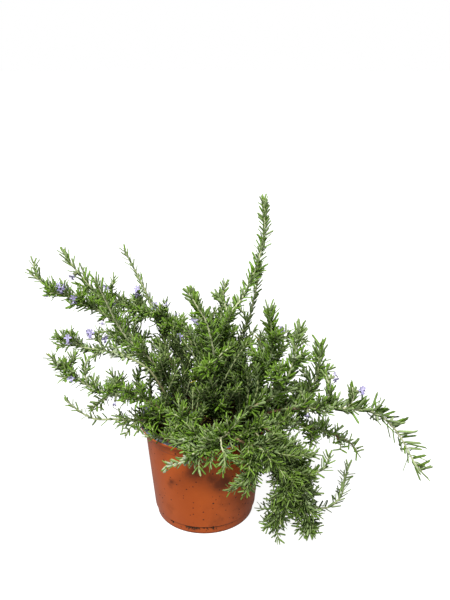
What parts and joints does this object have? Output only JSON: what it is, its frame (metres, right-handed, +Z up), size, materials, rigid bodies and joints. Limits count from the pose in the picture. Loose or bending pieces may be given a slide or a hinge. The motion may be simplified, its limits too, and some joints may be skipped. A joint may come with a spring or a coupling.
{
  "type": "potted rosemary plant",
  "caption": "Rosemary plant in a round tapered plastic pot, with upright, arching and trailing needle-leaved stems and small violet flower heads.",
  "frame": {"origin": "on the surface that the pot stands on, under the middle of the pot's flat base", "axes": "+Z up out of the pot, -Y the plant's front, +X to the right, the way that the longest stem arches"},
  "size_m": [0.498, 0.2933, 0.424],
  "materials": {
    "pot": "satin terracotta plastic",
    "soil": "matt crumbly potting soil",
    "foliage": "satin needle leaves on matt bark",
    "flowers": "matt thin petals"
  },
  "bodies": {
    "root": {"pot": "pot", "soil": "soil", "stem_left_long": "foliage", "stem_left_forward": "foliage", "stem_left_back": "foliage", "stem_left_pale": "foliage", "stem_left_middle": "foliage", "stem_left_low": "foliage", "stem_left_sparse": "foliage", "stem_left_upper": "foliage", "stem_tallest": "foliage", "stem_upright_back": "foliage", "stem_upright_middle": "foliage", "stem_upright_front": "foliage", "stem_upright_thick": "foliage", "stem_right_near": "foliage", "stem_right_far": "foliage", "stem_right_long": "foliage", "stem_right_woody": "foliage", "stem_right_hooked": "foliage", "stem_hanging_front": "foliage", "stem_hanging_inner": "foliage", "stem_hanging_floor": "foliage", "stem_front_sprig": "foliage", "stem_front_right": "foliage", "stem_front_short": "foliage", "stem_rim_left": "foliage", "stem_front_low": "foliage", "stem_back_left": "foliage", "stem_back_side": "foliage", "stem_back_middle": "foliage", "stem_back_upright": "foliage", "stem_back_right": "foliage", "stem_back_trailing": "foliage", "stem_side_right": "foliage", "flower_head_01": "flowers", "flower_head_02": "flowers", "flower_head_03": "flowers", "flower_head_04": "flowers", "flower_head_05": "flowers", "flower_head_06": "flowers", "flower_head_07": "flowers", "flower_head_08": "flowers", "flower_head_09": "flowers", "flower_head_10": "flowers", "flower_head_11": "flowers", "flower_head_12": "flowers", "flower_head_13": "flowers", "flower_head_14": "flowers", "flower_head_15": "flowers", "flower_head_16": "flowers", "flower_head_17": "flowers", "flower_head_18": "flowers", "flower_head_19": "flowers", "flower_head_20": "flowers", "flower_head_21": "flowers", "flower_head_22": "flowers", "flower_head_23": "flowers", "flower_head_24": "flowers", "flower_head_25": "flowers"}
  },
  "joints": []
}
